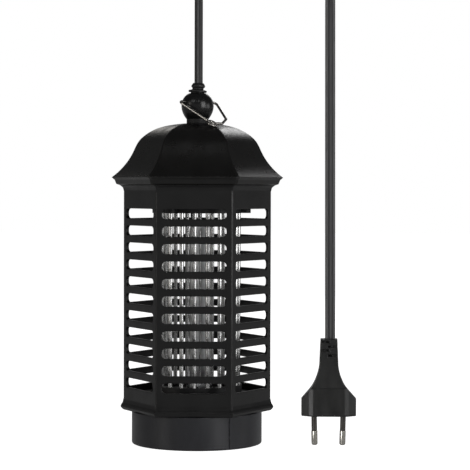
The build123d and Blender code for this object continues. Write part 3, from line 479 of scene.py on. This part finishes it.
cord_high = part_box("cord")[1]
plug_low, plug_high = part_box("plug_body")
finial_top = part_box("finial")[1].z
plug_centre = Vector(((plug_low.x + plug_high.x) / 2, (plug_low.y + plug_high.y) / 2, 0))
heading = plug_centre.normalized()
broad = Vector((-heading.y, heading.x, 0))
broad_turn = math.atan2(broad.y, broad.x)
crest = cord_high.z - CORD_HALF_THICKNESS


def lobed_section():
    """Two round cores side by side under one sheath, with a shallow valley between them."""
    section = []
    for i in range(CORD_SIDES):
        angle = 2 * math.pi * i / CORD_SIDES
        x = math.cos(angle)
        oval = math.sin(angle)
        flat = math.copysign(abs(oval) ** CORE_FLATNESS, oval)
        valley = VALLEY_DEPTH * math.exp(-(x / VALLEY_WIDTH) ** 2)
        y = (oval + (flat - oval) * CORE_SQUARENESS) * (1.0 - valley)
        section.append((x * CORD_HALF_WIDTH, y * CORD_HALF_THICKNESS))
    return section


def cord_twist(t):
    """Return the cord's turn: across its run at the lantern, broad side forward before the plug."""
    start, end = TWIST_SPAN
    s = min(max((t - start) / (end - start), 0.0), 1.0)
    return (broad_turn - math.radians(PLUG_CORD_TURN)) * s * s * (3 - 2 * s)


def lean(z):
    """Return how far the soft boot and the cord above it stand to the right of the axis."""
    return CORD_LEAN * min(max((z - finial_top - LEAN_FROM) / LEAN_EASE, 0.0), 1.0)


def sway(point):
    """Shift the free run of cord a little to the side, as a hanging cord is."""
    above_plug = point.z - plug_high.z
    eased = min(max(above_plug / SWAY_EASE + 1.0, 0.0), 1.0)
    hung = (HANG_OFFSET - HANG_SLOPE * max(above_plug, 0.0)) * eased
    on_lantern_side = point.x < plug_centre.x / 3
    return point + Vector((lean(point.z) if on_lantern_side else hung, 0, 0))


corners = [
    Vector((0, 0, CORD_INNER_END)), Vector((0, 0, crest)),
    plug_centre + Vector((0, 0, crest)), plug_centre + Vector((0, 0, CORD_PLUG_END)),
]
cord_path = [sway(point) for point in resample(rounded_path(corners, CORD_BEND, BEND_STEPS), CORD_SPACING)]
cord_rings = sweep_rings(cord_path, lobed_section(), broad, cord_twist)
cord = new_piece("cord_cable", *tube_mesh(cord_rings), SHEATH)
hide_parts("cord")

# ------------------------------------------------------------------ inner wires

WIRE_SIDES = 14
WIRE_SPACING = 0.0006
WIRE_BEND_STEPS = 6
WIRE_SIDE_HINT = Vector((0.3, 0.7, 0.2))
WIRE_WAVE = 0.03
WIRE_WAVE_STEP = 0.9
WIRE_CUT_BACK = 0.35
LEAD_R = 0.00065
GRID_LEAD_INSET = 0.45
LEAD_RISE = 0.0024
LEAD_BEND_PER_RADIUS = 1.6
CORE_R = 0.0009
CORE_GAP = 0.0024
CORE_FOOT_RIGHT = 0.002
CORE_STRAIGHT = 0.010


def insulated_wire(name, index, points, radius, node):
    """Lay one insulated wire along its corners, slightly uneven and with its ends cut back."""
    path = resample(rounded_path(points, radius * LEAD_BEND_PER_RADIUS, WIRE_BEND_STEPS), WIRE_SPACING)
    plain = sweep_rings(path, circle_section(radius, WIRE_SIDES), WIRE_SIDE_HINT)
    rings = []
    for k, (centre, ring) in enumerate(zip(path, plain)):
        at_end = k in (0, len(path) - 1)
        swell = 1.0 + WIRE_WAVE * math.sin(k * WIRE_WAVE_STEP) - WIRE_CUT_BACK * at_end
        rings.append([centre + (point - centre) * swell for point in ring])
    wire = new_piece(f"{name}_{index}", *tube_mesh(rings), (CORE, CORE_BLUE)[index])
    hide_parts(node)


board_low, board_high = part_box("circuit_board")

# Each grid lead rises from a rod, runs inwards and goes on up to the board at GRID_LEAD_INSET of the
# rod's distance from the axis. The box ends at the rods on one side and at the inner ends on the other.
low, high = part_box("grid_leads")
grid_starts = (
    ((low.x + LEAD_R) / GRID_LEAD_INSET, low.y + LEAD_R),
    (high.x - LEAD_R, (high.y - LEAD_R) / GRID_LEAD_INSET),
)
for index, (x, y) in enumerate(grid_starts):
    over = low.z + LEAD_RISE
    corners = [
        Vector((x, y, low.z)), Vector((x, y, over)),
        Vector((x * GRID_LEAD_INSET, y * GRID_LEAD_INSET, over)),
        Vector((x * GRID_LEAD_INSET, y * GRID_LEAD_INSET, board_low.z)),
    ]
    insulated_wire("grid_wire", index, corners, LEAD_R, "grid_leads")

low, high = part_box("lamp_leads")
socket_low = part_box("lamp_socket")[0].z
for index, x in enumerate((low.x + LEAD_R, high.x - LEAD_R)):
    bottom = low.z + LEAD_R
    corners = [
        Vector((x, high.y - LEAD_R, board_low.z)), Vector((x, high.y - LEAD_R, bottom)),
        Vector((x, low.y + LEAD_R, bottom)), Vector((x, low.y + LEAD_R, socket_low)),
    ]
    insulated_wire("lamp_wire", index, corners, LEAD_R, "lamp_leads")

low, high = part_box("cord_cores")
for index, side in enumerate((-1, 1)):
    start = broad * (side * CORE_GAP / 2)
    foot = Vector((CORE_FOOT_RIGHT, 0, 0)) + broad * (side * CORE_GAP)
    corners = [
        start + Vector((0, 0, high.z)), start + Vector((0, 0, high.z - CORE_STRAIGHT)),
        foot + Vector((0, 0, board_high.z + CORE_STRAIGHT)), foot + Vector((0, 0, board_high.z)),
    ]
    insulated_wire("cord_core", index, corners, CORE_R, "cord_cores")

# ------------------------------------------------------------------ rubber boot on the finial

BOOT_SIDES = 48
BOOT_SLANT = 0.05
FLUTE_COUNT = 12
# In millimetres from here to the outline, as radius and height above the foot.
FLUTE_DEPTH = 0.16
FLUTE_FROM_RADIUS = 4.0
FLUTE_FROM_HEIGHT = 1.5
BOOT_OUTLINE = (
    (5.4, -1.4), (5.6, -0.9), (5.3, -0.4), (4.8, 0.1), (4.6, 0.5), (5.0, 0.7), (5.9, 0.8), (6.2, 1.1),
    (6.2, 1.8), (5.9, 2.2), (4.9, 2.4), (4.1, 2.7), (3.8, 3.2), (3.9, 3.7), (4.3, 4.1), (4.6, 4.5),
    (4.65, 5.2), (4.4, 5.8), (4.1, 6.3), (3.9, 6.8), (3.5, 7.1), (2.6, 7.0),
)
boot_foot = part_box("cord_bush")[0].z


def boot_ring(radius, height):
    """Return one ring of the boot, given in millimetres, fluted where the collars stand out."""
    z = boot_foot + height * MM
    fluted = min(max(radius - FLUTE_FROM_RADIUS, 0.0), 1.0) if height > FLUTE_FROM_HEIGHT else 0.0
    ring = []
    for i in range(BOOT_SIDES):
        angle = 2 * math.pi * i / BOOT_SIDES
        r = (radius + FLUTE_DEPTH * math.cos(angle * FLUTE_COUNT) * fluted) * MM
        right = r * math.cos(angle)
        ring.append(Vector((right + lean(z), r * math.sin(angle), z - BOOT_SLANT * right)))
    return ring


boot = new_piece("boot_rubber", *tube_mesh([boot_ring(r, z) for r, z in BOOT_OUTLINE]), RUBBER)
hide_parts("cord_bush")

# ------------------------------------------------------------------ floor, light, camera

FLOOR_REACH = 6.0
FLOOR_Z = -0.0001
FLOOR_GREY = (0.80, 0.80, 0.80, 1)
FLOOR_SEEN = 0.97
FLOOR_BOUNCE = 0.27
GLOW_BEHIND = 0.36
GLOW_AHEAD = 0.26
GLOW_AROUND = 0.06


def floor_paper():
    """White paper that sheds less light on the object than it shows, and is clear from below."""
    shader = Shader("floor_paper")
    lit = shader.add("ShaderNodeBsdfDiffuse", Color=FLOOR_GREY).outputs[0]
    glow = shader.add("ShaderNodeEmission", Color=WHITE, Strength=FLOOR_SEEN).outputs[0]
    dim = shader.add("ShaderNodeEmission", Color=WHITE, Strength=FLOOR_BOUNCE).outputs[0]
    clear = shader.add("ShaderNodeBsdfTransparent").outputs[0]
    camera_ray = shader.add("ShaderNodeLightPath").outputs["Is Camera Ray"]
    below = shader.add("ShaderNodeNewGeometry").outputs["Backfacing"]
    seen = shader.join("ShaderNodeAddShader", lit, glow)
    front = shader.join("ShaderNodeMixShader", camera_ray, dim, seen)
    paper = shader.join("ShaderNodeMixShader", below, front, clear)
    shader.feed(shader.output.inputs["Surface"], paper)
    return shader.material


def add_floor():
    mesh = bpy.data.meshes.new("floor")
    reach = FLOOR_REACH
    corners = [(x * reach, y * reach, FLOOR_Z) for x, y in ((-1, -1), (1, -1), (1, 1), (-1, 1))]
    mesh.from_pydata(corners, [], [(0, 1, 2, 3)])
    mesh.materials.append(floor_paper())
    floor = bpy.data.objects.new("floor", mesh)
    bpy.context.scene.collection.objects.link(floor)


def studio_world():
    """White to the camera; to the object a dim room with a soft glow ahead and behind, near the horizon."""
    world = bpy.data.worlds.new("studio")
    world.use_nodes = True
    world.node_tree.nodes.clear()
    room = Nodes(world.node_tree)
    direction = room.add("ShaderNodeTexCoord").outputs["Generated"]
    split = room.add("ShaderNodeSeparateXYZ", Vector=direction).outputs
    low_down = room.spread(room.maths("ABSOLUTE", split["Z"]), 0.10, 0.40, 1.0, 0.0, smooth=True)
    back = room.spread(split["Y"], 0.55, 0.95, 0.0, GLOW_BEHIND, smooth=True)
    front = room.spread(split["Y"], 0.0, -0.6, 0.0, GLOW_AHEAD, smooth=True)
    behind = room.maths("MULTIPLY", back, low_down)
    ahead = room.maths("MULTIPLY", front, low_down)
    strength = room.maths("ADD", room.maths("ADD", behind, ahead), GLOW_AROUND)
    white = room.add("ShaderNodeBackground", Color=WHITE).outputs[0]
    soft = room.add("ShaderNodeBackground", Color=WHITE, Strength=strength).outputs[0]
    camera_ray = room.add("ShaderNodeLightPath").outputs["Is Camera Ray"]
    shown = room.join("ShaderNodeMixShader", camera_ray, soft, white)
    room.feed(room.add("ShaderNodeOutputWorld").inputs["Surface"], shown)
    return world


add_floor()
bpy.context.scene.world = studio_world()

LANTERN_MIDDLE = Vector((0, 0, 0.14))
PLUG_CORD_MIDDLE = plug_centre + Vector((0, 0, 0.19))
WARM = (1.0, 0.96, 0.90)


def softbox(
    name, bearing, rise, distance, size, radiance, colour=(1, 1, 1), centre=LANTERN_MIDDLE, spread=180
):
    """Hang a rectangle of light that faces the centre.

    Bearing is in degrees to the right of straight ahead, rise in degrees above level.
    """
    turn = math.radians(bearing - 90)
    tip = math.radians(rise)
    aim = Vector((math.cos(turn) * math.cos(tip), math.sin(turn) * math.cos(tip), math.sin(tip)))
    light = bpy.data.lights.new(name, "AREA")
    light.shape = "RECTANGLE"
    light.size, light.size_y = size
    light.energy = radiance * math.pi * size[0] * size[1]
    light.color = colour
    light.spread = math.radians(spread)
    item = bpy.data.objects.new(name, light)
    item.location = centre + aim * distance
    item.rotation_euler = (-aim).to_track_quat("-Z", "Y").to_euler()
    item.visible_camera = False
    bpy.context.scene.collection.objects.link(item)


softbox("right", 46, 8, 1.4, (0.66, 1.1), 4.6)
softbox("far_right", 84, 0, 1.4, (0.60, 0.7), 2.0)
softbox("left", -58, 6, 1.5, (0.34, 1.0), 3.6, colour=WARM)
softbox("upper_left", -30, 38, 1.5, (0.45, 0.14), 5.0)
softbox("upper_right", 10, 38, 1.5, (0.16, 0.14), 8.0)
softbox("back_right", 166, 25, 1.6, (0.40, 0.54), 3.6)
softbox("cord_side", -40, 0, 0.12, (0.05, 0.40), 0.4, centre=PLUG_CORD_MIDDLE, spread=50)
softbox("back_left", -166, 24, 1.6, (0.26, 0.34), 1.4, colour=(1.0, 0.97, 0.92))

CAMERA_PLACE = Vector((0.0580, -1.2577, 0.1753))
AIM_RIGHT = math.radians(1.186)
AIM_DOWN = math.radians(1.444)
CAMERA_ROLL = math.radians(0.16)
# The lens and the sensor's width are in millimetres.
CAMERA_LENS = 139.7
CAMERA_SENSOR = 36.0


def add_camera():
    """Stand the camera ahead of the lantern, turned AIM_RIGHT and AIM_DOWN from its axis."""
    toward = -Vector((CAMERA_PLACE.x, CAMERA_PLACE.y, 0)).normalized()
    yaw = math.atan2(toward.y, toward.x) - AIM_RIGHT
    aim = Matrix.Rotation(yaw - math.pi / 2, 4, "Z") @ Matrix.Rotation(math.pi / 2 - AIM_DOWN, 4, "X")
    data = bpy.data.cameras.new("camera")
    data.lens = CAMERA_LENS
    data.sensor_width = CAMERA_SENSOR
    camera = bpy.data.objects.new("camera", data)
    camera.location = CAMERA_PLACE
    camera.rotation_euler = (aim @ Matrix.Rotation(CAMERA_ROLL, 4, "Z")).to_euler()
    bpy.context.scene.collection.objects.link(camera)
    return camera


bpy.context.scene.camera = add_camera()
bpy.context.scene.view_settings.view_transform = "Standard"
